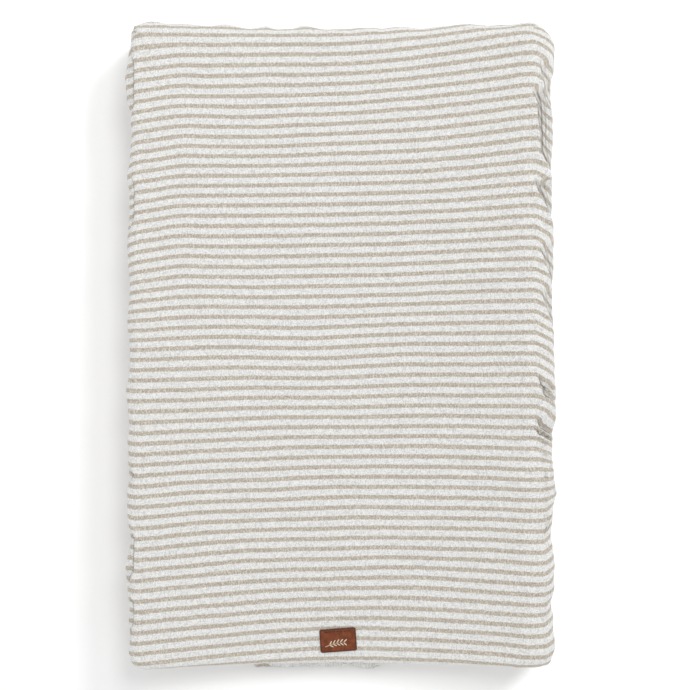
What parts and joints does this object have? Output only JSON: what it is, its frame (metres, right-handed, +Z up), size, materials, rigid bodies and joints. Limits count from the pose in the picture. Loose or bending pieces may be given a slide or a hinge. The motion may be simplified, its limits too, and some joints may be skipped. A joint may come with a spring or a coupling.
{
  "type": "contoured changing pad",
  "caption": "Contoured foam changing pad with two raised long sides, in a fitted striped double-gauze cover with an elasticated hem, a small leather patch and a zipped casing.",
  "frame": {"origin": "on the floor, in the middle of the pad's outline", "axes": "+Y towards the head end, +X to the right side seen from the foot end, +Z up"},
  "size_m": [0.4998, 0.7756, 0.1034],
  "materials": {
    "striped_muslin": "crinkled double gauze, striped",
    "elastic": "ribbed elastic",
    "thread": "matt thread",
    "label_leather": "smooth dyed leather",
    "label_thread": "waxed thread",
    "care_ribbon": "satin ribbon",
    "coated_cloth": "wipeable coated cloth",
    "foam": "open-cell foam",
    "wadding": "soft fibre wadding",
    "grip_rubber": "soft silicone",
    "zip_tape": "woven tape",
    "zip_coil": "nylon coil",
    "zip_metal": "satin"
  },
  "bodies": {
    "pad": {"foam_base": "foam", "foam_bolster_left": "foam", "foam_bolster_right": "foam", "wadding_sheet": "wadding", "casing_top_panel": "coated_cloth", "casing_gusset": "coated_cloth", "casing_bottom_left": "coated_cloth", "casing_bottom_right": "coated_cloth", "zip_tape_left": "zip_tape", "zip_tape_right": "zip_tape", "zip_coil_left": "zip_coil", "zip_coil_right": "zip_coil", "zip_top_stops": "zip_metal", "zip_bottom_stop": "zip_metal", "grip_dots": "grip_rubber", "cover_shell": "striped_muslin", "cover_hem": "striped_muslin", "hem_elastic": "elastic", "hem_stitching": "thread", "corner_seam_foot_left": "thread", "corner_seam_foot_right": "thread", "corner_seam_head_left": "thread", "corner_seam_head_right": "thread", "label_patch": "label_leather", "label_stitches": "label_thread", "care_label": "care_ribbon"},
    "zip_slider": {"zip_slider": "zip_metal"},
    "zip_pull": {"zip_pull": "zip_metal"}
  },
  "joints": [
    {"name": "zip_slide", "type": "slide", "parent": "pad", "child": "zip_slider", "axis": [0, -1, 0], "range_m": [0, 0.5526]},
    {"name": "zip_pull_hinge", "type": "hinge", "parent": "zip_slider", "child": "zip_pull", "pos_m": [0, 0.2763, 0.00265], "axis": [1, 0, 0], "range_deg": [0, 180]}
  ]
}
